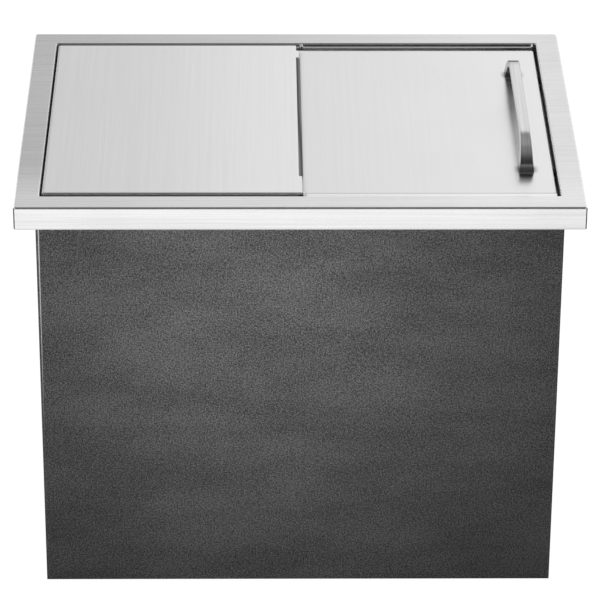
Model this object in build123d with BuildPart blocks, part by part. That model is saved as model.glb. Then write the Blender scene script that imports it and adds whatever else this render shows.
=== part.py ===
"""Drop-in ice bin: an insulated stainless basin that hangs by its rim in a counter.

All sizes are millimetres. +Z is up and the front faces -Y, so +X is to the right seen from
the front. The origin is the centre of the flat underside.
"""

import os
from math import asin, degrees

from build123d import *

# Overall size
bin_length = 560.0          # rim, left to right
bin_depth = 412.0           # rim, front to back
rim_top = 442.0             # rim's top face above the flat underside

# Rim, one folded and welded sheet
rim_sheet = 1.2
rim_drop = 24.0             # height of the rim's outer face
rim_return = 12.0           # lip that turns in under the rim and rests on the counter
rim_bend = 2.0
rim_corner = 3.0
border_ends = 24.5          # rim's flat width at the left and right
border_sides = 25.5         # rim's flat width at the front and back
opening_bend = 1.5
opening_corner = 1.5
well_depth = 16.0           # from the rim's top down to the ledge that the covers run on

# Body below the rim
case_gap_ends = 0.3         # between the rim's inner wall and the case, left and right
case_gap_sides = 1.3        # the same at the front and back
skin_sheet = 2.0            # black grained skin
skin_rim_gap = 4.0          # between the skin's top edge and the rim's underside
skin_slot = 1.5             # gap at the top of the front skin's left edge
skin_slot_reach = 0.7       # how far down that gap runs, as a part of the skin's height
case_sheet = 1.0
base_flange = 15.0          # upturned edge of the base pan
access_radius = 30.0        # hole in the base that the drain is reached through

# Basin
ledge_width = 27.0
basin_sheet = 1.0
basin_corner = 20.0
basin_floor_bend = 15.0
basin_mouth_round = 0.9     # rounding where the wall turns out into the ledge
floor_height = 36.0         # basin floor above the underside
dish_radius = 44.0
dish_depth = 4.0

# Drain
neck_radius = 20.0          # outside of the drain body where its lock nut runs
pipe_radius = 16.6          # outside of the one inch pipe thread below the nut
pipe_bore = 12.5
pipe_recess = 2.0           # the pipe ends this far above the underside
drain_flange_radius = 32.0
drain_flange_height = 2.5
drain_flange_edge = 1.0     # chamfer round the flange's top
seat_radius = 17.0          # top of the stopper's cone seat
seat_depth = 8.0
strainer_bar = 2.0
strainer_height = 3.0
strainer_drop = 16.0        # below the drain flange
strainer_root = 0.5         # how far its bars run into the pipe's wall
gasket_overlap = 2.0        # the upper gasket is this much smaller than the flange
lower_gasket_radius = 28.0
lower_gasket_height = 2.0
nut_flats = 50.0
nut_height = 8.0
thread_gap = 0.1
neck_hole_gap = 0.6
neck_below_nut = 1.0
foam_hole_gap = 3.0

# Stopper
stopper_gap = 0.3
stopper_cap_radius = 19.0
stopper_cap_height = 4.0
stopper_edge = 1.5          # chamfer round its cap
lug_length = 8.0
lug_thickness = 3.0
lug_height = 7.0
lug_corner = 2.0
lug_root = 3.5              # height of its square lower part
lug_hole_radius = 1.5
lug_hole_height = 3.5       # above the stopper's cap
ring_radius = 8.0
ring_wire = 0.9             # radius of the ring's wire

# Guide strips on the ledge, and the stops
guide_sheet = 1.5
guide_inset = 7.5           # from the opening's edge to a strip's outer face
guide_top_gap = 0.5         # below the rim's top
front_guide_top_gap = 2.0   # the front right strip stands lower
guide_foot = 5.5
guide_end_bend = 4.0
guide_end_gap = 1.8         # between a right strip and the opening's round corner
guide_left_setback = 5.5    # between a left strip and the end of the opening
lip_gap = 0.6               # between the lip and the rim
stop_sheet = 1.0
stop_centre = 3.85          # X of the two centre stops
stop_gap = 0.7              # between a stop and the strips beside it
bumper_radius = 4.0
bumper_offset = 110.0
bumper_rise = 4.0           # middle of a bumper above the right cover's lower edge
bumper_gap = 0.1

# Covers
cover_sheet = 1.0
cover_bend = 1.5
left_cover_corner = 2.0
right_cover_corner = 4.0
skirt_gap = 1.1             # between a guide strip and the left cover's skirt
left_skirt = 12.0
left_end_gap = 1.9
left_cover_end = 2.2        # X of the left cover's right edge
notch_length = 2.8
notch_depth = 14.0
nose_start = -1.2           # X where the left cover's right edge begins to bend down
nose_bend = 1.5
nose_angle = 22.0           # slope of the bent edge, in degrees
nose_flat = 4.1             # length of its slope
nose_front_setback = 37.0
nose_rear_setback = 31.0
right_cover_drop = 2.5      # right cover's top below the rim's top
right_cover_gap = 0.5       # between the right cover and the front guide strips
right_cover_slack = 2.5     # the same at the rear ones
right_end_gap = 2.9
cover_overlap = 11.7        # how far the right cover reaches under the left one
glide_height = 2.0
glide_length = 24.0
glide_cheek = 4.0
glide_width = 3.0
glide_setback = 14.0

# Handle
handle_spacing = 224.0      # between its two screws
handle_offset = -5.5        # Y of its middle
handle_setback = 27.0       # from the right cover's right end to the handle's middle
handle_rise = 27.7
handle_width = 10.6         # along the flat top
handle_foot_width = 15.2
handle_foot_depth = 12.5
handle_strap = 5.0
handle_leg = 46.0           # from a foot's outer face to the end of the flat top
handle_edge = 1.0           # rounding of its long edges
screw_radius = 2.4
screw_hole_radius = 2.5
cover_hole_radius = 2.8
screw_depth = 8.0
screw_tip_gap = 1.0
screw_head_radius = 4.5
screw_head_height = 2.6
screw_socket_flats = 3.0
screw_socket_depth = 1.6
washer_radius = 5.5
washer_height = 1.0

# Places that follow from the sizes above
opening_length = bin_length - 2 * border_ends
opening_depth = bin_depth - 2 * border_sides
ledge_top = rim_top - well_depth
ledge_under = ledge_top - basin_sheet
case_inner_length = opening_length + 2 * (rim_sheet + case_gap_ends)
case_inner_depth = opening_depth + 2 * (rim_sheet + case_gap_sides)
case_length = case_inner_length + 2 * case_sheet
case_depth = case_inner_depth + 2 * case_sheet
skin_length = case_length + 2 * skin_sheet
skin_depth = case_depth + 2 * skin_sheet
case_top = rim_top - rim_sheet
skin_top = case_top - skin_rim_gap
basin_length = opening_length - 2 * ledge_width
basin_depth = opening_depth - 2 * ledge_width
floor_under = floor_height - basin_sheet
dish_floor = floor_height - dish_depth
dish_under = dish_floor - basin_sheet
drain_flange_top = floor_height
drain_flange_under = drain_flange_top - drain_flange_height
nut_top = dish_under - lower_gasket_height
neck_end = nut_top - nut_height - neck_below_nut
guide_outer = opening_depth / 2 - guide_inset
guide_inner = guide_outer - guide_sheet
guide_top = rim_top - guide_top_gap
front_guide_top = rim_top - front_guide_top_gap
right_guide_start = stop_centre + stop_sheet / 2 + stop_gap
right_guide_end = opening_length / 2 - opening_corner - guide_end_gap
left_guide_start = guide_left_setback - opening_length / 2
left_guide_end = stop_centre - stop_sheet / 2 - stop_gap
left_cover_top = guide_top + cover_sheet
left_cover_start = left_end_gap - opening_length / 2
left_cover_half = guide_outer + skirt_gap + cover_sheet
right_cover_top = rim_top - right_cover_drop
right_cover_front = right_cover_gap - guide_inner
right_cover_rear = guide_inner - right_cover_slack
right_cover_start = left_cover_end - cover_overlap
right_cover_end = opening_length / 2 - right_end_gap
right_skirt_bottom = ledge_top + glide_height
handle_x = right_cover_end - handle_setback
handle_ends = (handle_offset - handle_spacing / 2, handle_offset + handle_spacing / 2)
handle_top = right_cover_top + handle_rise


def rounded_block(length, depth, corner, top, height, bend=0.0, centre=(0, 0)):
    """Upright block with round corners and, where a bend is given, a round top edge."""
    with BuildPart() as block:
        with BuildSketch(Plane.XY.offset(top - height)):
            with Locations(centre):
                RectangleRounded(length, depth, corner)
        extrude(amount=height)
        if bend:
            fillet(block.faces().sort_by(Axis.Z)[-1].edges(), bend)
    return block.part


def box_between(low, high):
    """Plain block given by its lowest and highest corners."""
    with BuildPart() as block:
        with BuildSketch(Plane.XY.offset(low[2])):
            with Locations(((low[0] + high[0]) / 2, (low[1] + high[1]) / 2)):
                Rectangle(high[0] - low[0], high[1] - low[1])
        extrude(amount=high[2] - low[2])
    return block.part


def turned(profile):
    """Ring or disc turned from (radius, height) points round the drain's axis."""
    with BuildPart() as ring:
        with BuildSketch(Plane.XZ):
            with BuildLine():
                Polyline(*profile, close=True)
            make_face()
        revolve(axis=Axis.Z)
    return ring.part


def washer(inner, outer, bottom, height, centre=(0, 0)):
    """Flat ring."""
    with BuildPart() as ring:
        with BuildSketch(Plane.XY.offset(bottom)):
            with Locations(centre):
                Circle(outer)
                Circle(inner, mode=Mode.SUBTRACT)
        extrude(amount=height)
    return ring.part


def make_rim():
    """Top frame, folded down at its outer edge and again down into the opening."""
    inside_length = bin_length - 2 * rim_sheet
    inside_depth = bin_depth - 2 * rim_sheet
    cavity = rounded_block(inside_length, inside_depth, rim_corner - rim_sheet, case_top,
                           rim_drop - 2 * rim_sheet, rim_bend - rim_sheet)
    with BuildPart() as rim:
        add(rounded_block(bin_length, bin_depth, rim_corner, rim_top, rim_drop, rim_bend))
        add(cavity, mode=Mode.SUBTRACT)
        with BuildSketch(Plane.XY.offset(rim_top - rim_drop)):
            RectangleRounded(bin_length - 2 * rim_return, bin_depth - 2 * rim_return,
                             rim_corner)
        extrude(amount=rim_sheet, mode=Mode.SUBTRACT)
        with BuildSketch(Plane.XY.offset(ledge_top)):
            RectangleRounded(opening_length + 2 * rim_sheet, opening_depth + 2 * rim_sheet,
                             opening_corner + rim_sheet)
        extrude(amount=well_depth - rim_sheet)
        with BuildSketch(Plane.XY.offset(ledge_top)):
            RectangleRounded(opening_length, opening_depth, opening_corner)
        extrude(amount=well_depth, mode=Mode.SUBTRACT)
        fillet(rim.faces().sort_by(Axis.Z)[-1].inner_wires().edges(), opening_bend)
    return rim.part


def make_basin():
    """Liner with coved corners, a ledge round its mouth and a dished drain in its floor."""
    outer = 2 * basin_sheet
    wall_height = ledge_top - floor_height
    with BuildPart() as tub:
        with BuildSketch(Plane.XY.offset(floor_under)):
            RectangleRounded(basin_length + outer, basin_depth + outer,
                             basin_corner + basin_sheet)
        extrude(amount=wall_height + basin_sheet)
        fillet(tub.faces().sort_by(Axis.Z)[0].edges(), basin_floor_bend + basin_sheet)
    with BuildPart() as hollow:
        with BuildSketch(Plane.XY.offset(floor_height)):
            RectangleRounded(basin_length, basin_depth, basin_corner)
        extrude(amount=wall_height)
        fillet(hollow.faces().sort_by(Axis.Z)[0].edges(), basin_floor_bend)
    dish_outside = turned([(0, floor_under), (dish_radius, floor_under),
                           (dish_radius - dish_depth, dish_under), (0, dish_under)])
    dish_inside = turned([(0, floor_height), (dish_radius, floor_height),
                          (dish_radius - dish_depth, dish_floor), (0, dish_floor)])
    with BuildPart() as basin:
        add(tub.part)
        add(dish_outside)
        with BuildSketch(Plane.XY.offset(ledge_under)):
            RectangleRounded(opening_length + 2 * rim_sheet, opening_depth + 2 * rim_sheet,
                             opening_corner + rim_sheet)
        extrude(amount=basin_sheet)
        add(hollow.part, mode=Mode.SUBTRACT)
        add(dish_inside, mode=Mode.SUBTRACT)
        with BuildSketch(Plane.XY.offset(dish_under)):
            Circle(neck_radius + neck_hole_gap)
        extrude(amount=basin_sheet, mode=Mode.SUBTRACT)
        mouth = basin.faces().filter_by(Axis.Z).sort_by(Axis.Z)[-1]
        fillet(mouth.inner_wires().edges(), basin_mouth_round)
    return basin.part


def make_left_guide(side):
    """Angle strip on the ledge: the left cover rests on it, the right one runs inside it."""
    with BuildPart() as guide:
        with BuildSketch(Plane.YZ.offset(left_guide_start)):
            with BuildLine():
                Polyline((guide_inner, ledge_top), (guide_outer + guide_foot, ledge_top),
                         (guide_outer + guide_foot, ledge_top + guide_sheet),
                         (guide_outer, ledge_top + guide_sheet), (guide_outer, guide_top),
                         (guide_inner, guide_top), close=True)
            make_face()
        extrude(amount=left_guide_end - left_guide_start)
        if side < 0:
            mirror(about=Plane.XZ, mode=Mode.REPLACE)
    return guide.part


def make_rear_right_guide():
    """Strip beside the right cover, its two ends curved back to the rim."""
    length = right_guide_end - right_guide_start
    middle = (right_guide_start + right_guide_end) / 2
    wall = opening_depth / 2
    with BuildPart() as guide:
        with BuildSketch(Plane.XY.offset(ledge_top)) as outline:
            with Locations((middle, (guide_inner + wall) / 2)):
                Rectangle(length, wall - guide_inner)
            fillet(outline.vertices().group_by(Axis.Y)[0], guide_end_bend)
            with Locations((middle, (guide_outer + wall) / 2)):
                Rectangle(length - 2 * guide_sheet, wall - guide_outer, mode=Mode.SUBTRACT)
            inner = outline.vertices().filter_by_position(Axis.Y, guide_outer, guide_outer)
            fillet(inner, guide_end_bend - guide_sheet)
        extrude(amount=guide_top - ledge_top)
    return guide.part


def make_front_right_guide():
    """Strip beside the right cover, its top turned out to close the slot to the rim."""
    lip_end = opening_depth / 2 - lip_gap
    lip_under = front_guide_top - guide_sheet
    with BuildPart() as guide:
        with BuildSketch(Plane.YZ.offset(right_guide_start)):
            with BuildLine():
                Polyline((-guide_inner, ledge_top), (-guide_inner, front_guide_top),
                         (-lip_end, front_guide_top), (-lip_end, lip_under),
                         (-guide_outer, lip_under), (-guide_outer, ledge_top), close=True)
            make_face()
        extrude(amount=right_guide_end - right_guide_start)
    return guide.part


def make_centre_stop(side):
    """Upright plate between the left and right strips, at the end of the left cover."""
    low_y, high_y = sorted((side * guide_inner, side * opening_depth / 2))
    half = stop_sheet / 2
    return box_between((stop_centre - half, low_y, ledge_top),
                       (stop_centre + half, high_y, guide_top))


def make_closing_bumpers():
    """Two rubber discs on the rim's right wall that the right cover closes against."""
    with BuildPart() as bumpers:
        with BuildSketch(Plane.YZ.offset(opening_length / 2)):
            with Locations((-bumper_offset, right_skirt_bottom + bumper_rise),
                           (bumper_offset, right_skirt_bottom + bumper_rise)):
                Circle(bumper_radius)
        extrude(amount=-(right_end_gap - bumper_gap))
    return bumpers.part


def make_left_cover():
    """Upper cover: skirts on three sides, a bent nose and a notch on the right side."""
    length = left_cover_end - left_cover_start
    depth = 2 * left_cover_half
    spare = left_skirt                  # cut off again at the open right end
    walls = 2 * cover_sheet
    centre = ((left_cover_end + left_cover_start + spare) / 2, 0)
    shell = rounded_block(length + spare, depth, left_cover_corner, left_cover_top,
                          left_skirt, cover_bend, centre)
    hollow = rounded_block(length + spare - walls, depth - walls,
                           left_cover_corner - cover_sheet, left_cover_top - cover_sheet,
                           left_skirt, cover_bend - cover_sheet, centre)
    nose_front = nose_front_setback - left_cover_half
    nose_rear = left_cover_half - nose_rear_setback
    skirt_end = left_cover_end - notch_length
    under = left_cover_top - 2 * left_skirt
    beyond = left_cover_end + 2 * spare
    with BuildPart() as cover:
        add(shell)
        add(hollow, mode=Mode.SUBTRACT)
        add(box_between((left_cover_end, -depth, under), (beyond, depth, rim_top + spare)),
            mode=Mode.SUBTRACT)
        add(box_between((skirt_end, -depth, under),
                        (beyond, depth, left_cover_top - cover_bend)), mode=Mode.SUBTRACT)
        add(box_between((skirt_end, left_cover_half - notch_depth, under),
                        (beyond, depth, rim_top + spare)), mode=Mode.SUBTRACT)
        add(box_between((nose_start, nose_front, under), (beyond, nose_rear, rim_top + spare)),
            mode=Mode.SUBTRACT)
        with BuildSketch(Plane.XZ.offset(-nose_rear)):
            middle = (nose_start, left_cover_top - nose_bend)
            with BuildLine():
                outer = CenterArc(middle, nose_bend, 90, -nose_angle)
                inner = CenterArc(middle, nose_bend - cover_sheet, 90, -nose_angle)
                top = PolarLine(outer @ 1, nose_flat, -nose_angle)
                underside = PolarLine(inner @ 1, nose_flat, -nose_angle)
                Line(outer @ 0, inner @ 0)
                Line(top @ 1, underside @ 1)
            make_face()
        extrude(amount=nose_rear - nose_front)
    return cover.part


def make_right_cover():
    """Lower cover: an upside-down pan, drilled for the handle's screws."""
    length = right_cover_end - right_cover_start
    depth = right_cover_rear - right_cover_front
    inner = 2 * cover_sheet
    centre = ((right_cover_end + right_cover_start) / 2, (right_cover_rear + right_cover_front) / 2)
    height = right_cover_top - right_skirt_bottom
    with BuildPart() as cover:
        add(rounded_block(length, depth, right_cover_corner, right_cover_top, height,
                          cover_bend, centre))
        add(rounded_block(length - inner, depth - inner, right_cover_corner - cover_sheet,
                          right_cover_top - cover_sheet, height - cover_sheet,
                          cover_bend - cover_sheet, centre), mode=Mode.SUBTRACT)
        with BuildSketch(Plane.XY.offset(right_cover_top)):
            with Locations(*[(handle_x, y) for y in handle_ends]):
                Circle(cover_hole_radius)
        extrude(amount=-cover_sheet, mode=Mode.SUBTRACT)
    return cover.part


def make_right_cover_glides():
    """Four plastic angle glides that hold the right cover's skirts off the ledge."""
    low = (right_cover_start + glide_setback, right_cover_end - glide_setback - glide_length)
    with BuildPart() as glides:
        for start in low:
            for face, inward in ((right_cover_front, 1), (right_cover_rear, -1)):
                cheek = face + inward * cover_sheet
                inside = face + inward * glide_width
                with BuildSketch(Plane.YZ.offset(start)):
                    with BuildLine():
                        Polyline((face, ledge_top), (face, right_skirt_bottom),
                                 (cheek, right_skirt_bottom),
                                 (cheek, right_skirt_bottom + glide_cheek),
                                 (inside, right_skirt_bottom + glide_cheek),
                                 (inside, ledge_top), close=True)
                    make_face()
                extrude(amount=glide_length)
    return glides.part


def make_handle():
    """Bow handle: a flat strap, bowed down at both ends, that widens towards its feet."""
    length = handle_spacing + handle_foot_depth
    front = handle_offset - length / 2
    rear = handle_offset + length / 2
    inner_leg = handle_leg - handle_foot_depth
    strap_under = handle_rise - handle_strap
    half_foot = handle_foot_width / 2
    half_top = handle_width / 2
    with BuildPart() as handle:
        with BuildSketch(Plane.YZ.offset(handle_x)):
            with Locations((handle_offset, right_cover_top + handle_rise / 2)):
                Rectangle(length - 2 * handle_leg, handle_rise)
            for end in (front + handle_leg, rear - handle_leg):
                with Locations((end, right_cover_top)):
                    Ellipse(handle_leg, handle_rise)
            with Locations((handle_offset, right_cover_top + strap_under / 2)):
                Rectangle(length - 2 * handle_leg, strap_under, mode=Mode.SUBTRACT)
            for end in (front + handle_leg, rear - handle_leg):
                with Locations((end, right_cover_top)):
                    Ellipse(inner_leg, strap_under, mode=Mode.SUBTRACT)
            with Locations((handle_offset, right_cover_top - handle_rise)):
                Rectangle(2 * length, 2 * handle_rise, mode=Mode.SUBTRACT)
        extrude(amount=half_foot, both=True)
        with BuildSketch(Plane.XZ.offset(-rear)):
            with BuildLine():
                Polyline((handle_x - half_foot, right_cover_top),
                         (handle_x + half_foot, right_cover_top),
                         (handle_x + half_top, handle_top),
                         (handle_x - half_top, handle_top), close=True)
            make_face()
        extrude(amount=length, mode=Mode.INTERSECT)
        on_cover = handle.edges().group_by(Axis.Z)[0]
        across = handle.edges().filter_by(Axis.X)
        fillet(handle.edges() - on_cover - across, handle_edge)
        with BuildSketch(Plane.XY.offset(right_cover_top)):
            with Locations(*[(handle_x, y) for y in handle_ends]):
                Circle(screw_hole_radius)
        extrude(amount=screw_depth, mode=Mode.SUBTRACT)
    return handle.part


def make_handle_screws():
    """Two socket screws that come up through the right cover into the handle's feet."""
    seat = right_cover_top - cover_sheet - washer_height
    with BuildPart() as screws:
        with BuildSketch(Plane.XY.offset(seat)):
            with Locations(*[(handle_x, y) for y in handle_ends]):
                Circle(screw_head_radius)
        extrude(amount=-screw_head_height)
        with BuildSketch(Plane.XY.offset(seat)):
            with Locations(*[(handle_x, y) for y in handle_ends]):
                Circle(screw_radius)
        extrude(amount=washer_height + cover_sheet + screw_depth - screw_tip_gap)
        with BuildSketch(Plane.XY.offset(seat - screw_head_height)):
            with Locations(*[(handle_x, y) for y in handle_ends]):
                RegularPolygon(screw_socket_flats / 2, 6, major_radius=False)
        extrude(amount=screw_socket_depth, mode=Mode.SUBTRACT)
    return screws.part


def make_handle_washers():
    """Flat washers under the two screw heads."""
    bottom = right_cover_top - cover_sheet - washer_height
    with BuildPart() as washers:
        for y in handle_ends:
            add(washer(cover_hole_radius, washer_radius, bottom, washer_height, (handle_x, y)))
    return washers.part


def make_long_panel(side):
    """Case panel across the front (-1) or the back (1)."""
    low_y, high_y = sorted((side * case_depth / 2, side * case_inner_depth / 2))
    return box_between((-case_length / 2, low_y, 0), (case_length / 2, high_y, case_top))


def make_end_panel(side):
    """Case panel at the left (-1) or right (1) end, between the two long panels."""
    low_x, high_x = sorted((side * case_length / 2, side * case_inner_length / 2))
    half = case_inner_depth / 2
    return box_between((low_x, -half, 0), (high_x, half, case_top))


def make_base_panel():
    """Shallow pan that closes the case underneath, with the drain's access hole."""
    with BuildPart() as base:
        with BuildSketch():
            Rectangle(case_inner_length, case_inner_depth)
        extrude(amount=base_flange)
        with BuildSketch(Plane.XY.offset(case_sheet)):
            Rectangle(case_inner_length - 2 * case_sheet, case_inner_depth - 2 * case_sheet)
        extrude(amount=base_flange, mode=Mode.SUBTRACT)
        with BuildSketch():
            Circle(access_radius)
        extrude(amount=case_sheet, mode=Mode.SUBTRACT)
    return base.part


def make_front_skin():
    """Front skin between the end skins; its left edge leaves a slot that narrows downwards."""
    left = -case_length / 2
    right = case_length / 2
    slot_end = skin_top * (1 - skin_slot_reach)
    with BuildPart() as skin:
        with BuildSketch(Plane.XZ.offset(case_depth / 2)):
            with BuildLine():
                Polyline((left, 0), (right, 0), (right, skin_top),
                         (left + skin_slot, skin_top), (left, slot_end), close=True)
            make_face()
        extrude(amount=skin_sheet)
    return skin.part


def make_rear_skin():
    """Back skin between the end skins."""
    return box_between((-case_length / 2, case_depth / 2, 0),
                       (case_length / 2, skin_depth / 2, skin_top))


def make_end_skin(side):
    """Skin of the left (-1) or right (1) end; its cut edges show at the front and back."""
    low_x, high_x = sorted((side * case_length / 2, side * skin_length / 2))
    half = skin_depth / 2
    return box_between((low_x, -half, 0), (high_x, half, skin_top))


def make_end_insulation(side):
    """Foam board between the basin and the left (-1) or right (1) panel."""
    inner = basin_length / 2 + basin_sheet
    outer = case_inner_length / 2 - case_sheet
    half = case_inner_depth / 2 - case_sheet
    low_x, high_x = sorted((side * inner, side * outer))
    return box_between((low_x, -half, case_sheet), (high_x, half, ledge_under))


def make_long_insulation(side):
    """Foam board between the basin and the front (-1) or back (1) panel."""
    inner = basin_depth / 2 + basin_sheet
    outer = case_inner_depth / 2 - case_sheet
    half = basin_length / 2 + basin_sheet
    low_y, high_y = sorted((side * inner, side * outer))
    return box_between((-half, low_y, case_sheet), (half, high_y, ledge_under))


def make_bottom_insulation():
    """Foam board under the basin, cut out round the drain's dish."""
    length = basin_length + 2 * basin_sheet
    depth = basin_depth + 2 * basin_sheet
    with BuildPart() as board:
        with BuildSketch(Plane.XY.offset(case_sheet)):
            Rectangle(length, depth)
            Circle(dish_radius + foam_hole_gap, mode=Mode.SUBTRACT)
        extrude(amount=floor_under - case_sheet)
    return board.part


def make_drain_body():
    """Drain flange and threaded pipe in one piece, with a cross to keep ice out."""
    seat_bottom = drain_flange_top - seat_depth
    cross_top = drain_flange_under - strainer_drop
    bar_length = 2 * (pipe_bore + strainer_root)
    profile = [(pipe_bore, pipe_recess), (pipe_radius, pipe_recess),
               (pipe_radius, neck_end), (neck_radius, neck_end),
               (neck_radius, drain_flange_under), (drain_flange_radius, drain_flange_under),
               (drain_flange_radius, drain_flange_top - drain_flange_edge),
               (drain_flange_radius - drain_flange_edge, drain_flange_top),
               (seat_radius, drain_flange_top), (pipe_bore, seat_bottom)]
    with BuildPart() as drain:
        add(turned(profile))
        with BuildSketch(Plane.XY.offset(cross_top)):
            Rectangle(bar_length, strainer_bar)
            Rectangle(strainer_bar, bar_length)
        extrude(amount=-strainer_height)
    return drain.part


def make_drain_nut():
    """Six-sided lock nut under the basin."""
    with BuildPart() as nut:
        with BuildSketch(Plane.XY.offset(nut_top - nut_height)):
            RegularPolygon(nut_flats / 2, 6, major_radius=False)
            Circle(neck_radius + thread_gap, mode=Mode.SUBTRACT)
        extrude(amount=nut_height)
    return nut.part


def make_drain_stopper():
    """Rubber stopper: a cone in the drain's seat, a cap over it and a lug for the ring."""
    seat_bottom = drain_flange_top - seat_depth
    cap_top = drain_flange_top + stopper_cap_height
    cone = [(0, seat_bottom), (pipe_bore - stopper_gap, seat_bottom),
            (seat_radius - stopper_gap, drain_flange_top),
            (stopper_cap_radius, drain_flange_top), (stopper_cap_radius, cap_top - stopper_edge),
            (stopper_cap_radius - stopper_edge, cap_top), (0, cap_top)]
    with BuildPart() as stopper:
        add(turned(cone))
        with BuildSketch(Plane.XZ.offset(-lug_thickness / 2)):
            with Locations((0, cap_top + lug_height / 2)):
                RectangleRounded(lug_length, lug_height, lug_corner)
            with Locations((0, cap_top + lug_root / 2)):
                Rectangle(lug_length, lug_root)
            with Locations((0, cap_top + lug_hole_height)):
                Circle(lug_hole_radius, mode=Mode.SUBTRACT)
        extrude(amount=lug_thickness)
    return stopper.part


def make_stopper_ring():
    """Pull ring through the stopper's lug, leaning down on to the cap."""
    hole_z = drain_flange_top + stopper_cap_height + lug_hole_height
    drop = lug_hole_height - ring_wire - stopper_gap
    lean = degrees(asin(drop / (2 * ring_radius)))
    hub = Plane(origin=(0, 0, hole_z)).rotated((0, lean, 0))
    with BuildPart() as ring:
        with BuildSketch(Plane(origin=hub.origin, x_dir=hub.x_dir, z_dir=-hub.y_dir)):
            Circle(ring_wire)
        centre = hub.from_local_coords((ring_radius, 0, 0))
        revolve(axis=Axis(centre, hub.z_dir), revolution_arc=360)
    return ring.part


def make_pieces():
    """Every piece of the bin by name."""
    gasket_hole = neck_radius + neck_hole_gap
    upper_gasket = washer(gasket_hole, drain_flange_radius - gasket_overlap, dish_floor,
                          drain_flange_under - dish_floor)
    lower_gasket = washer(gasket_hole, lower_gasket_radius, nut_top, lower_gasket_height)
    return {
        "rim": make_rim(),
        "basin": make_basin(),
        "guide_front_left": make_left_guide(-1),
        "guide_rear_left": make_left_guide(1),
        "guide_front_right": make_front_right_guide(),
        "guide_rear_right": make_rear_right_guide(),
        "centre_stop_front": make_centre_stop(-1),
        "centre_stop_rear": make_centre_stop(1),
        "closing_bumpers": make_closing_bumpers(),
        "left_cover": make_left_cover(),
        "right_cover": make_right_cover(),
        "right_cover_glides": make_right_cover_glides(),
        "handle": make_handle(),
        "handle_screws": make_handle_screws(),
        "handle_washers": make_handle_washers(),
        "front_panel": make_long_panel(-1),
        "rear_panel": make_long_panel(1),
        "left_panel": make_end_panel(-1),
        "right_panel": make_end_panel(1),
        "base_panel": make_base_panel(),
        "front_skin": make_front_skin(),
        "rear_skin": make_rear_skin(),
        "left_skin": make_end_skin(-1),
        "right_skin": make_end_skin(1),
        "insulation_front": make_long_insulation(-1),
        "insulation_rear": make_long_insulation(1),
        "insulation_left": make_end_insulation(-1),
        "insulation_right": make_end_insulation(1),
        "insulation_bottom": make_bottom_insulation(),
        "drain_body": make_drain_body(),
        "drain_upper_gasket": upper_gasket,
        "drain_lower_gasket": lower_gasket,
        "drain_nut": make_drain_nut(),
        "drain_stopper": make_drain_stopper(),
        "stopper_ring": make_stopper_ring(),
    }


os.makedirs("parts", exist_ok=True)
for name, piece in make_pieces().items():
    piece.label = name
    export_step(piece, f"parts/{name}.step")
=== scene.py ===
"""Drop-in ice bin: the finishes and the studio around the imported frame.

Everything is in metres, in the frame of the part: origin at the centre of the flat underside,
+Z up, the front facing -Y.
"""

from math import radians

import bpy
from mathutils import Matrix, Vector

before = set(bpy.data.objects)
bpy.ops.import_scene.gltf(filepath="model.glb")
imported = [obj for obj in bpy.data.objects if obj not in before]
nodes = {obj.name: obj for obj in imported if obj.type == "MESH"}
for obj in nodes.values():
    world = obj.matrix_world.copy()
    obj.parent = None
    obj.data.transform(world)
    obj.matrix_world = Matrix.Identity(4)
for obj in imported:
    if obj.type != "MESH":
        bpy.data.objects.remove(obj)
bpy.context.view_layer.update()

scene = bpy.context.scene

FIRST, LAST = 0.3, 0.7          # the part of a noise's range that is used
SQUARE_ON = 0.8                 # a face turned at least this much to an axis faces along it
X_AXIS, Y_AXIS, Z_AXIS = (1.0, 0.0, 0.0), (0.0, 1.0, 0.0), (0.0, 0.0, 1.0)

# How far wear and the painted shade in gaps reach
STEEL_WEAR = 0.0009
SHEET_WEAR = 0.001
SKIN_WEAR = 0.0015
MOULDED_WEAR = 0.0006
GAP_SHADE_REACH = 0.006

# Places on the rim
RIM_FRONT = (-0.19, -0.10)      # Y, where its top turns from the painted bright front to the painted darker rear
RIM_LENGTH = (-0.20, 0.20)      # X, where the painted reflection on the rear gets lighter to the right
RIM_RIGHT_END = (0.13, 0.25)    # X, where the front face gets a darker painted reflection
# Z, below which the rim's lower bend is painted in shade
RIM_LOWER_BEND = (0.4180, 0.4198)

# Places on the guide strips, the covers and the handle
# Y, where the guide strips turn from painted light at the front to painted shade at the rear
GUIDE_FRONT = (-0.17, -0.10)
# X on the covers: the painted shade on the left cover's rolled left edge, and where the painted
# reflection changes across the covers
ROLLED_EDGE = (-0.2536, -0.2500)
LEFT_COVER_MIDDLE = (-0.18, -0.03)
LEFT_COVER_END = (0.0, 0.004)
# X and Y limits of the painted shade on the left cover's bent nose
NOSE_START = (-0.006, -0.002)
NOSE_END = (0.006, 0.010)
NOSE_SLOPE = (-0.0005, 0.0028)
NOSE_LENGTH = (0.03, -0.11)
HANDLE_SIDE = (0.18, 0.21)      # X, where the painted shade in the gaps on the right cover turns darker round the handle
# Z, below which the handle's feet are painted in shade
HANDLE_FEET = (0.443, 0.450)
HANDLE_LEGS = (0.441, 0.446)    # Z, where the wear of its edges begins
# Z, above which the handle's rear-facing bend is painted in shade
HANDLE_TOP_BEND = (0.458, 0.463)


def add_node(tree, kind, wired=None, **settings):
    """One shader node. wired gives its inputs, each a plain value or another node's output."""
    made = tree.nodes.new("ShaderNode" + kind)
    for key, value in settings.items():
        setattr(made, key, value)
    for key, value in (wired or {}).items():
        if isinstance(value, bpy.types.NodeSocket):
            tree.links.new(value, made.inputs[key])
        else:
            made.inputs[key].default_value = value
    return made


def calculate(tree, operation, first, second=0.0):
    """The output of a Math node."""
    made = add_node(tree, "Math", {0: first, 1: second}, operation=operation)
    return made.outputs[0]


def times(tree, first, second):
    return calculate(tree, "MULTIPLY", first, second)


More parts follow.
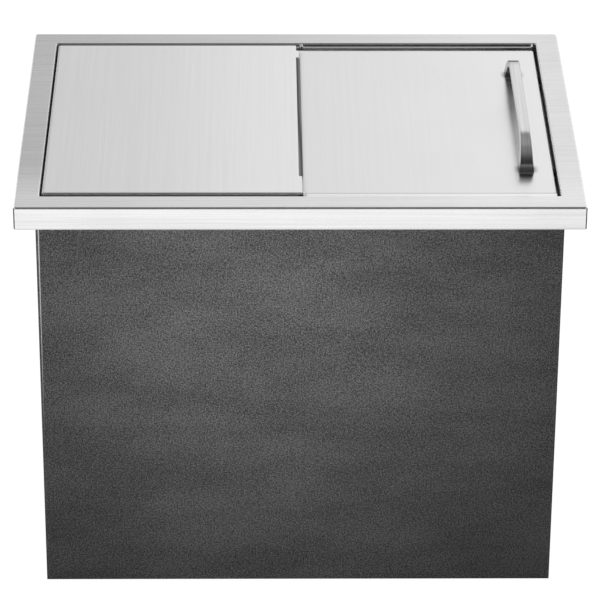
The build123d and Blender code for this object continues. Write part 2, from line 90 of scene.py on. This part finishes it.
def less(tree, first, second):
    return calculate(tree, "SUBTRACT", first, second)


def ease(tree, value, start, end, low, high):
    """value from start to end becomes low to high, with soft ends."""
    wired = {"Value": value, "From Min": start, "From Max": end, "To Min": low, "To Max": high}
    return add_node(tree, "MapRange", wired, interpolation_type="SMOOTHSTEP").outputs[0]


def rise(tree, value, start, end):
    """0 before start, 1 after end, with soft ends."""
    return ease(tree, value, start, end, 0.0, 1.0)


def fall(tree, value, start, end):
    """1 before start, 0 after end, with soft ends."""
    return ease(tree, value, start, end, 1.0, 0.0)


def blend_colours(tree, share, first, second):
    """first where share is 0, second where it is 1."""
    wired = {0: share, 6: first, 7: second}
    return add_node(tree, "Mix", wired, data_type="RGBA").outputs[2]


def blend_values(tree, share, first, second):
    """first where share is 0, second where it is 1."""
    return add_node(tree, "Mix", {0: share, 2: first, 3: second}).outputs[0]


def blend_vectors(tree, share, first, second):
    """first where share is 0, second where it is 1."""
    wired = {0: share, 4: first, 5: second}
    return add_node(tree, "Mix", wired, data_type="VECTOR").outputs[1]


def split(tree, vector):
    """The three parts of a vector."""
    return add_node(tree, "SeparateXYZ", {0: vector}).outputs


def join(tree, first, second, third):
    """A vector from its three parts."""
    return add_node(tree, "CombineXYZ", {0: first, 1: second, 2: third}).outputs[0]


def grey(level):
    return (level, level, level, 1.0)


def noise(tree, place, scale, detail=2.0, roughness=0.5):
    """Noise on a place that has been stretched already."""
    wired = {"Vector": place, "Scale": scale, "Detail": detail, "Roughness": roughness}
    return add_node(tree, "TexNoise", wired).outputs["Fac"]


def stretched(tree, place, scale, turn=(0.0, 0.0, 0.0)):
    """place with a scale for each axis, after a turn."""
    wired = {"Vector": place, "Scale": scale, "Rotation": turn}
    return add_node(tree, "Mapping", wired).outputs[0]


def bump(tree, height, depth):
    """A bump of that depth in metres."""
    return add_node(tree, "Bump", {"Height": height, "Distance": depth, "Strength": 1.0}).outputs[0]


def new_finish(name):
    """A material with an empty tree: (material, tree, principled shader, object place)."""
    finish = bpy.data.materials.new(name)
    finish.use_nodes = True
    tree = finish.node_tree
    tree.nodes.clear()
    shader = add_node(tree, "BsdfPrincipled")
    add_node(tree, "OutputMaterial", {"Surface": shader.outputs[0]})
    place = add_node(tree, "TexCoord")
    return finish, tree, shader, place


def wire(tree, shader, **inputs):
    """Sets or links the shader's sockets, named with underscores for spaces."""
    for key, value in inputs.items():
        socket = shader.inputs[key.replace("_", " ")]
        if isinstance(value, bpy.types.NodeSocket):
            tree.links.new(value, socket)
        else:
            socket.default_value = value


def worn_edge(tree, width):
    """1 on edges and corners, 0 on flat places. width is how far the wear reaches."""
    rounded = add_node(tree, "Bevel", {"Radius": width}, samples=2).outputs[0]
    flat = add_node(tree, "NewGeometry").outputs["Normal"]
    alike = add_node(tree, "VectorMath", {0: rounded, 1: flat}, operation="DOT_PRODUCT")
    turned, straight = 0.84, 0.98
    return fall(tree, alike.outputs["Value"], turned, straight)


def painted_gap_shade(tree, reach):
    """Painted shade: 1 deep in gaps and seams narrower than reach, where little light gets in, and
    0 in the open.
    """
    around = add_node(tree, "AmbientOcclusion", {"Distance": reach}, samples=2).outputs["AO"]
    shut, clear = 0.35, 0.80
    return fall(tree, around, shut, clear)


def brushed_lines(tree, along):
    """Long brush lines, fine and broad ones together, along the first axis of the place given."""
    fine_scale, broad_scale = (7.0, 900.0, 900.0), (2.5, 260.0, 260.0)
    fine = noise(tree, stretched(tree, along, fine_scale), 1.0, 3.0, 0.6)
    broad = noise(tree, stretched(tree, along, broad_scale), 1.0, 2.0, 0.5)
    broad_share = 0.45
    return blend_values(tree, broad_share, fine, broad)


def steel_look(tree, shader, lines, across, level, stain_and_shade, gap_tone, wear, roughness, depth,
               contrast, anisotropy):
    """The colour, roughness, bump and direction of a brushed steel, from its lines. The gap tone is
    painted shade in its narrow gaps, where the steel also turns dull and rough; wear is how far its
    edges are polished; the stain mask is 1 where a weld has left it dull and on the left cover's
    bent nose, where it carries painted shade."""
    polish, palest, gap_shade_roughness, worn_roughness = 1.06, 0.98, 0.85, 0.8
    line_roughness, cloud_roughness, cloud_scale = 0.03, 0.02, 7.0
    place = add_node(tree, "TexCoord").outputs["Object"]
    cloud = noise(tree, place, cloud_scale, 3.0, 0.55)
    # painted shade in narrow gaps, from ambient occlusion
    gap_shade_mask = painted_gap_shade(tree, GAP_SHADE_REACH)
    worn = times(tree, worn_edge(tree, STEEL_WEAR), less(tree, 1.0, gap_shade_mask))
    worn = times(tree, worn, wear)
    tone = times(tree, level, ease(tree, lines, FIRST, LAST, 1.0 - contrast, 1.0 + contrast))
    paler = calculate(tree, "MINIMUM", times(tree, level, polish), palest)
    tone = blend_values(tree, gap_shade_mask, blend_values(tree, worn, tone, paler), gap_tone)
    low, high = roughness - line_roughness, roughness + line_roughness
    rough = calculate(tree, "ADD", ease(tree, lines, FIRST, LAST, low, high),
                      ease(tree, cloud, FIRST, LAST, -cloud_roughness, cloud_roughness))
    rough = blend_values(tree, worn, rough, roughness * worn_roughness)
    dull = calculate(tree, "MAXIMUM", gap_shade_mask, stain_and_shade)
    wire(tree, shader, Base_Color=tone, Metallic=less(tree, 1.0, dull),
         Roughness=blend_values(tree, dull, rough, gap_shade_roughness), Anisotropic=anisotropy,
         Tangent=across, Normal=bump(tree, lines, depth))


def rim_look(tree):
    """How pale the rim is, with painted reflection: brightest on the front of its top, darker at
    the rear and lighter there to the right, its front face darker to the right and its lower bend
    in painted shade; the welded corners of its edge, which carry a dull weld stain; and the tone of
    the painted shade in its gaps."""
    lit_front_tone, shaded_rear_left_tone, shaded_rear_right_tone = 0.96, 0.75, 0.83
    lit_face_tone, shaded_face_right_tone, lower_bend_shade, weld_tone, gap_shade_tone = 0.93, 0.87, 0.62, 0.16, 0.03
    weld_x, weld_y, weld_z, forward = (0.42, 0.60), (0.04, 0.14), (0.3, 0.5), (0.7, 0.9)
    coordinates = add_node(tree, "TexCoord").outputs
    place = split(tree, coordinates["Object"])
    faces = split(tree, coordinates["Normal"])
    facing_x, facing_y, facing_z = (calculate(tree, "ABSOLUTE", part) for part in faces)
    weld = times(tree, rise(tree, facing_x, *weld_x), rise(tree, facing_y, *weld_y))
    weld = times(tree, weld, fall(tree, facing_z, *weld_z))
    rear = ease(tree, place[0], *RIM_LENGTH, shaded_rear_left_tone, shaded_rear_right_tone)
    top = ease(tree, place[1], *RIM_FRONT, lit_front_tone, rear)
    front_face = ease(tree, place[0], *RIM_RIGHT_END, lit_face_tone, shaded_face_right_tone)
    level = blend_values(tree, rise(tree, facing_y, *forward), top, front_face)
    level = times(tree, level, ease(tree, place[2], *RIM_LOWER_BEND, lower_bend_shade, 1.0))
    return blend_values(tree, weld, level, weld_tone), weld, gap_shade_tone


def guide_look(tree):
    """How pale the guide strips are, with painted light at the front and painted shade at the rear,
    no stain, and the tone of the painted shade in their gaps."""
    lit_front_tone, shaded_rear_tone, gap_shade_tone = 0.94, 0.62, 0.10
    place = split(tree, add_node(tree, "TexCoord").outputs["Object"])
    return ease(tree, place[1], *GUIDE_FRONT, lit_front_tone, shaded_rear_tone), 0.0, gap_shade_tone


def cover_look(tree):
    """How pale the covers are, with painted reflection that changes across them and painted shade
    on the left one's rolled left edge; the painted shade on its bent nose, running dark to light
    across the slope at the rear and the other way at the front, where the steel also turns dull;
    and the tone of the painted shade in their gaps, darkest round the handle."""
    rolled_edge_shade, left_reflection_tone, middle_reflection_tone, right_reflection_tone = 0.55, 0.84, 0.90, 0.83
    nose_deep_shade, nose_light_shade, gap_shade_tone, handle_shade_tone = 0.06, 0.19, 0.40, 0.04
    rightward = (0.08, 0.25)
    coordinates = add_node(tree, "TexCoord").outputs
    place = split(tree, coordinates["Object"])
    facing = split(tree, coordinates["Normal"])[0]
    on_nose = times(tree, rise(tree, facing, *rightward), fall(tree, place[0], *NOSE_END))
    on_nose = times(tree, on_nose, rise(tree, place[0], *NOSE_START))
    flat = ease(tree, place[0], *ROLLED_EDGE, rolled_edge_shade, left_reflection_tone)
    flat = blend_values(tree, rise(tree, place[0], *LEFT_COVER_MIDDLE), flat, middle_reflection_tone)
    flat = blend_values(tree, rise(tree, place[0], *LEFT_COVER_END), flat, right_reflection_tone)
    to_end = rise(tree, place[0], *NOSE_SLOPE)
    to_front = rise(tree, place[1], *NOSE_LENGTH)
    pale = calculate(tree, "ABSOLUTE", less(tree, to_end, to_front))
    # painted shade on the bent nose
    level = blend_values(tree, on_nose, flat, ease(tree, pale, 0.0, 1.0, nose_deep_shade, nose_light_shade))
    return level, on_nose, ease(tree, place[0], *HANDLE_SIDE, gap_shade_tone, handle_shade_tone)


def brushed_steel(name, grain, look_of, roughness, depth, contrast, anisotropy):
    """Brushed stainless sheet. The grain runs along grain, "X" or "Y", and turns on the faces
    that it would otherwise run straight into. look_of makes the nodes for how pale it is, with its
    painted light and shade, the mask of its weld stains and of its painted shade, and the tone of
    the painted shade in its gaps."""
    finish, tree, shader, place = new_finish(name)
    parts = split(tree, place.outputs["Object"])
    swapped = join(tree, parts[1], parts[0], parts[2])
    normal_parts = split(tree, place.outputs["Normal"])
    facing = calculate(tree, "ABSOLUTE", normal_parts[0 if grain == "X" else 1])
    end_face = calculate(tree, "GREATER_THAN", facing, SQUARE_ON)
    straight, crossed = place.outputs["Object"], swapped
    straight_axis, crossed_axis = X_AXIS, Y_AXIS
    if grain == "Y":
        straight, crossed = crossed, straight
        straight_axis, crossed_axis = crossed_axis, straight_axis
    along = blend_vectors(tree, end_face, straight, crossed)
    direction = blend_vectors(tree, end_face, straight_axis, crossed_axis)
    across = add_node(tree, "VectorMath", {0: place.outputs["Normal"], 1: direction},
                      operation="CROSS_PRODUCT").outputs[0]
    level, stain_and_shade, gap_tone = look_of(tree)
    steel_look(tree, shader, brushed_lines(tree, along), across,
               level, stain_and_shade, gap_tone, 1.0, roughness, depth, contrast, anisotropy)
    return finish


def strap_steel(name, level, roughness, depth, contrast, anisotropy):
    """Brushed stainless strap, bent along Y. The lines follow it round its bends, so they lie
    across X on every face but the two sides. Its feet, its rear bend and its right edge carry
    painted shade."""
    feet_shade, rear_bend_shade, right_edge_shade, gap_shade_tone, wear = 0.22, 0.3, 0.6, 0.04, 0.7
    rearward, rightward, flat_side = (0.0, 0.35), (0.15, 0.5), (0.90, 0.98)
    finish, tree, shader, place = new_finish(name)
    parts = split(tree, place.outputs["Object"])
    turned = join(tree, parts[1], parts[0], 0.0)
    sides = join(tree, parts[1], parts[2], 0.0)
    normal_parts = split(tree, place.outputs["Normal"])
    facing = calculate(tree, "ABSOLUTE", normal_parts[0])
    side_face = calculate(tree, "GREATER_THAN", facing, SQUARE_ON)
    along = blend_vectors(tree, side_face, turned, sides)
    across = blend_vectors(tree, side_face, X_AXIS, Z_AXIS)
    above_feet = ease(tree, parts[2], *HANDLE_LEGS, 0.0, wear)
    # painted shade on the feet, the rear bend and the right edge
    shaded_level = ease(tree, parts[2], *HANDLE_FEET, level * feet_shade, level)
    rear_bend = blend_values(tree, rise(tree, parts[2], *HANDLE_TOP_BEND), 1.0,
                             ease(tree, normal_parts[1], *rearward, 1.0, rear_bend_shade))
    right_edge = blend_values(tree, rise(tree, normal_parts[0], *flat_side),
                              ease(tree, normal_parts[0], *rightward, 1.0, right_edge_shade), 1.0)
    shaded_level = times(tree, times(tree, shaded_level, rear_bend), right_edge)
    steel_look(tree, shader, brushed_lines(tree, along), across,
               shaded_level, 0.0, gap_shade_tone, above_feet, roughness, depth, contrast, anisotropy)
    return finish


def satin_steel(name, level, roughness):
    """Plain satin sheet with a fine tooth and soft clouds, for the basin and the case."""
    duller, paler, worn_paler, unevenness, tooth_depth = 0.94, 1.04, 1.14, 0.03, 0.000015
    tooth_scale, cloud_scale = 1100.0, 9.0
    finish, tree, shader, place = new_finish(name)
    tooth = noise(tree, place.outputs["Object"], tooth_scale, 2.0, 0.6)
    cloud = noise(tree, place.outputs["Object"], cloud_scale, 4.0, 0.6)
    worn = worn_edge(tree, SHEET_WEAR)
    colour = blend_colours(tree, cloud, grey(level * duller), grey(level * paler))
    colour = blend_colours(tree, worn, colour, grey(level * worn_paler))
    low, high = roughness - unevenness, roughness + unevenness
    rough = calculate(tree, "ADD", ease(tree, tooth, FIRST, LAST, low, high),
                      ease(tree, cloud, FIRST, LAST, -unevenness, unevenness))
    wire(tree, shader, Base_Color=colour, Metallic=1.0, Roughness=rough,
         Normal=bump(tree, tooth, tooth_depth))
    return finish


def grained_skin():
    """Charcoal skin with a fine leather-like grain and a painted sheen of faint slanting waves."""
    wander_depth, speck_share, grain_depth, gloss = 0.0014, 0.6, 0.0003, 0.25
    grain_share, wave_sheen_share, wear_share = 0.86, 0.14, 0.6
    hollow, raised, worn_tone = grey(0.031), grey(0.165), grey(0.115)
    hollow_roughness, raised_roughness = 0.66, 0.50
    wander_scale, cell_scale, speck_scale, wave_scale = 420.0, 600.0, 640.0, (9.0, 9.0, 26.0)
    slant, cell_wall, tones, heights = radians(-24), (0.02, 0.3), (0.15, 0.9), (0.2, 0.8)
    finish, tree, shader, place = new_finish("charcoal_grained_skin")
    spot = place.outputs["Object"]
    wander = times(tree, noise(tree, spot, wander_scale, 2.0, 0.5), wander_depth)
    pushed = add_node(tree, "VectorMath", {0: spot, 1: wander}, operation="ADD").outputs[0]
    cells = add_node(tree, "TexVoronoi", {"Vector": pushed, "Scale": cell_scale},
                     feature="DISTANCE_TO_EDGE").outputs["Distance"]
    pebbles = rise(tree, cells, *cell_wall)
    specks = rise(tree, noise(tree, spot, speck_scale, 2.0, 0.6), FIRST, LAST)
    height = blend_values(tree, speck_share, pebbles, specks)
    # faint slanting waves painted into the colour as sheen
    slanted = stretched(tree, spot, wave_scale, (0.0, slant, 0.0))
    waves = noise(tree, slanted, 1.0, 4.0, 0.6)
    tone = calculate(tree, "ADD", times(tree, height, grain_share),
                     ease(tree, waves, FIRST, LAST, 0.0, wave_sheen_share))
    colour = blend_colours(tree, rise(tree, tone, *tones), hollow, raised)
    worn = times(tree, worn_edge(tree, SKIN_WEAR), wear_share)
    rough = ease(tree, height, *heights, hollow_roughness, raised_roughness)
    wire(tree, shader, Base_Color=blend_colours(tree, worn, colour, worn_tone), Roughness=rough,
         Specular_IOR_Level=gloss, Normal=bump(tree, height, grain_depth))
    return finish


def mottled(name, dark, light, roughness, scale, depth, metallic=0.0, specular=0.5):
    """A plain moulded, cast or polished finish with a fine tooth, soft clouds and paler edges."""
    cloud_size, wear_gain, wear_share, unevenness = 30, 1.25, 0.5, 0.04
    finish, tree, shader, place = new_finish(name)
    tooth = noise(tree, place.outputs["Object"], scale, 3.0, 0.6)
    cloud = noise(tree, place.outputs["Object"], scale / cloud_size, 3.0, 0.55)
    colour = blend_colours(tree, blend_values(tree, 0.5, tooth, cloud), dark, light)
    paler = tuple(min(part * wear_gain, 1.0) for part in light)
    worn = times(tree, worn_edge(tree, MOULDED_WEAR), wear_share)
    rough = ease(tree, tooth, FIRST, LAST, roughness - unevenness, roughness + unevenness)
    wire(tree, shader, Base_Color=blend_colours(tree, worn, colour, paler), Metallic=metallic,
         Roughness=rough, Specular_IOR_Level=specular, Normal=bump(tree, tooth, depth))
    return finish


rim_steel = brushed_steel(
    "steel_brushed_across", "X", rim_look,
    roughness=0.27, depth=0.000012, contrast=0.11, anisotropy=0.6)
guide_steel = brushed_steel(
    "steel_guide_strips", "X", guide_look,
    roughness=0.22, depth=0.000006, contrast=0.04, anisotropy=0.2)
cover_steel = brushed_steel(
    "steel_brushed_front_to_back", "Y", cover_look,
    roughness=0.23, depth=0.000003, contrast=0.02, anisotropy=0.6)
handle_steel = strap_steel(
    "steel_brushed_strap", level=0.71,
    roughness=0.22, depth=0.000006, contrast=0.12, anisotropy=0.6)
basin_steel = satin_steel("steel_satin_basin", level=0.84, roughness=0.30)
case_steel = satin_steel("steel_case_sheet", level=0.66, roughness=0.30)
skin = grained_skin()
foam = mottled(
    "foam_board", dark=(0.74, 0.66, 0.47, 1.0), light=(0.83, 0.76, 0.57, 1.0),
    roughness=0.85, scale=400.0, depth=0.0002)
bright = mottled(
    "steel_turned", dark=grey(0.70), light=grey(0.78),
    roughness=0.16, scale=900.0, depth=0.000004, metallic=1.0)
rubber = mottled(
    "rubber_black", dark=grey(0.016), light=grey(0.026),
    roughness=0.75, scale=1200.0, depth=0.00003, specular=0.2)
nylon = mottled(
    "nylon_white", dark=(0.74, 0.74, 0.72, 1.0), light=(0.80, 0.80, 0.78, 1.0),
    roughness=0.42, scale=700.0, depth=0.00001)

FINISHES = {
    rim_steel: ("rim",),
    guide_steel: ("guide_front_left", "guide_rear_left", "guide_front_right", "guide_rear_right",
                  "centre_stop_front", "centre_stop_rear"),
    cover_steel: ("left_cover", "right_cover"),
    handle_steel: ("handle",),
    basin_steel: ("basin",),
    case_steel: ("front_panel", "rear_panel", "left_panel", "right_panel", "base_panel"),
    skin: ("front_skin", "rear_skin", "left_skin", "right_skin"),
    foam: ("insulation_front", "insulation_rear", "insulation_left", "insulation_right",
           "insulation_bottom"),
    bright: ("handle_screws", "handle_washers", "drain_body", "drain_nut", "stopper_ring"),
    rubber: ("closing_bumpers", "drain_upper_gasket", "drain_lower_gasket", "drain_stopper"),
    nylon: ("right_cover_glides",),
}
for finish, names in FINISHES.items():
    for name in names:
        nodes[name].data.materials.clear()
        nodes[name].data.materials.append(finish)


def make_floor():
    """Plain pale floor that the camera and the steel see as white, with the bin's soft shadow.
    The steel sees it dark far in front and straight behind. From below it is clear, so that the
    underside can be looked at."""
    width, matt_tone, glow, white_share = 60.0, 0.6, 1.17, 0.84
    far_in_front, far_behind, straight_behind = (-3.6, -1.9), (1.6, 2.2), (0.12, 0.25)
    bpy.ops.mesh.primitive_plane_add(size=width)
    floor = bpy.context.object
    floor.name = "floor"
    finish = bpy.data.materials.new("floor_white")
    finish.use_nodes = True
    tree = finish.node_tree
    tree.nodes.clear()
    path = add_node(tree, "LightPath").outputs
    mirrored = calculate(tree, "MAXIMUM", path["Is Glossy Ray"], path["Is Transmission Ray"])
    seen = calculate(tree, "MAXIMUM", path["Is Camera Ray"], mirrored)
    x, y, _ = split(tree, add_node(tree, "TexCoord").outputs["Object"])
    sideways = calculate(tree, "ABSOLUTE", calculate(tree, "DIVIDE", x, y))
    behind = times(tree, rise(tree, y, *far_behind), fall(tree, sideways, *straight_behind))
    dark = calculate(tree, "MAXIMUM", fall(tree, y, *far_in_front), behind)
    level = ease(tree, times(tree, mirrored, dark), 0.0, 1.0, glow, 0.0)
    matt = add_node(tree, "BsdfDiffuse", {"Color": grey(matt_tone)}).outputs[0]
    white = add_node(tree, "Emission", {"Color": grey(1.0), "Strength": level}).outputs[0]
    top = add_node(tree, "MixShader", {0: times(tree, seen, white_share), 1: matt, 2: white})
    clear = add_node(tree, "BsdfTransparent").outputs[0]
    back = add_node(tree, "NewGeometry").outputs["Backfacing"]
    both = add_node(tree, "MixShader", {0: back, 1: top.outputs[0], 2: clear})
    add_node(tree, "OutputMaterial", {"Surface": both.outputs[0]})
    floor.data.materials.append(finish)


def make_room():
    """White for the camera. The light is a pale room: brighter to the right, a grey ceiling above
    the backdrop, paler over the back, and a dark strip where the camera stands. The steel sees
    the foot of that strip as grey."""
    left_light, right_light, front_share = 0.60, 1.01, 0.55
    ceiling_light, zenith_light, back_zenith_light = 0.29, 0.23, 0.35
    strip_light, strip_foot_light = 0.03, 0.30
    left_to_right, far_left, front_to_back = (-0.12, 0.11), (-0.40, -0.22), (-0.3, 0.3)
    ceiling_edge, zenith_edge, over_back = (0.59, 0.71), (0.73, 0.88), (0.10, 0.25)
    strip_sides, strip_end, strip_foot = (0.35, 0.75), (-0.75, 0.0), (0.37, 0.46)
    world = bpy.data.worlds.new("studio")
    scene.world = world
    world.use_nodes = True
    tree = world.node_tree
    tree.nodes.clear()
    x, y, z = split(tree, add_node(tree, "TexCoord").outputs["Generated"])
    path = add_node(tree, "LightPath").outputs
    mirrored = path["Is Glossy Ray"]
    side = ease(tree, x, *left_to_right, left_light, right_light)
    side = blend_values(tree, fall(tree, x, *far_left), side, 1.0)
    walls = blend_values(tree, rise(tree, y, *front_to_back), times(tree, side, front_share), side)
    over_the_back = times(tree, mirrored, rise(tree, y, *over_back))
    overhead = blend_values(tree, over_the_back, zenith_light, back_zenith_light)
    ceiling = blend_values(tree, rise(tree, z, *zenith_edge), ceiling_light, overhead)
    level = blend_values(tree, rise(tree, z, *ceiling_edge), walls, ceiling)
    strip = times(tree, fall(tree, calculate(tree, "ABSOLUTE", x), *strip_sides),
                  fall(tree, y, *strip_end))
    low = times(tree, mirrored, fall(tree, z, *strip_foot))
    level = blend_values(tree, strip, level,
                         blend_values(tree, low, strip_light, strip_foot_light))
    room = add_node(tree, "Background", {"Color": grey(1.0), "Strength": level}).outputs[0]
    white = add_node(tree, "Background", {"Color": grey(1.0), "Strength": 1.0}).outputs[0]
    both = add_node(tree, "MixShader", {0: path["Is Camera Ray"], 1: room, 2: white})
    add_node(tree, "OutputWorld", {"Surface": both.outputs[0]})


def place_lamp(name, data, place, target):
    """Puts a lamp at place, turned to target. The steel doesn't mirror it."""
    lamp = bpy.data.objects.new(name, data)
    scene.collection.objects.link(lamp)
    lamp.location = place
    lamp.rotation_mode = "QUATERNION"
    lamp.rotation_quaternion = (Vector(target) - Vector(place)).to_track_quat("-Z", "Y")
    lamp.visible_glossy = False


def make_ceiling_lamp():
    """Soft rectangular lamp above the bin."""
    data = bpy.data.lights.new("ceiling_lamp", "AREA")
    data.shape = "RECTANGLE"
    data.size, data.size_y, data.energy = 2.4, 1.8, 22.0
    place_lamp("ceiling_lamp", data, place=(0.2, 0.3, 2.6), target=(0.0, 0.0, 0.3))


def make_front_spot():
    """Round lamp in front, whose pool of light on the front skin fades out to its rim."""
    data = bpy.data.lights.new("front_spot", "SPOT")
    data.spot_size, data.spot_blend = radians(15.7), 1.0
    data.shadow_soft_size, data.energy = 0.25, 318.0
    place_lamp("front_spot", data, place=(-0.05, -2.3, 0.80), target=(-0.045, -0.19, 0.35))


def make_camera():
    """The photograph's viewpoint: above the front, a little to the left, through a long lens."""
    yaw, pitch, roll = radians(0.80), radians(28.48), radians(0.34)
    stand = (-0.04305, -3.28541, 2.01059)
    data = bpy.data.cameras.new("viewpoint")
    data.sensor_width, data.lens = 36.0, 213.06
    data.clip_end = 200.0
    camera = bpy.data.objects.new("viewpoint", data)
    scene.collection.objects.link(camera)
    turn = (Matrix.Rotation(-yaw, 4, "Z") @ Matrix.Rotation(radians(90) - pitch, 4, "X")
            @ Matrix.Rotation(roll, 4, "Z"))
    camera.matrix_world = Matrix.Translation(stand) @ turn
    scene.camera = camera


make_floor()
make_room()
make_front_spot()
make_ceiling_lamp()
make_camera()
scene.view_settings.view_transform = "Standard"
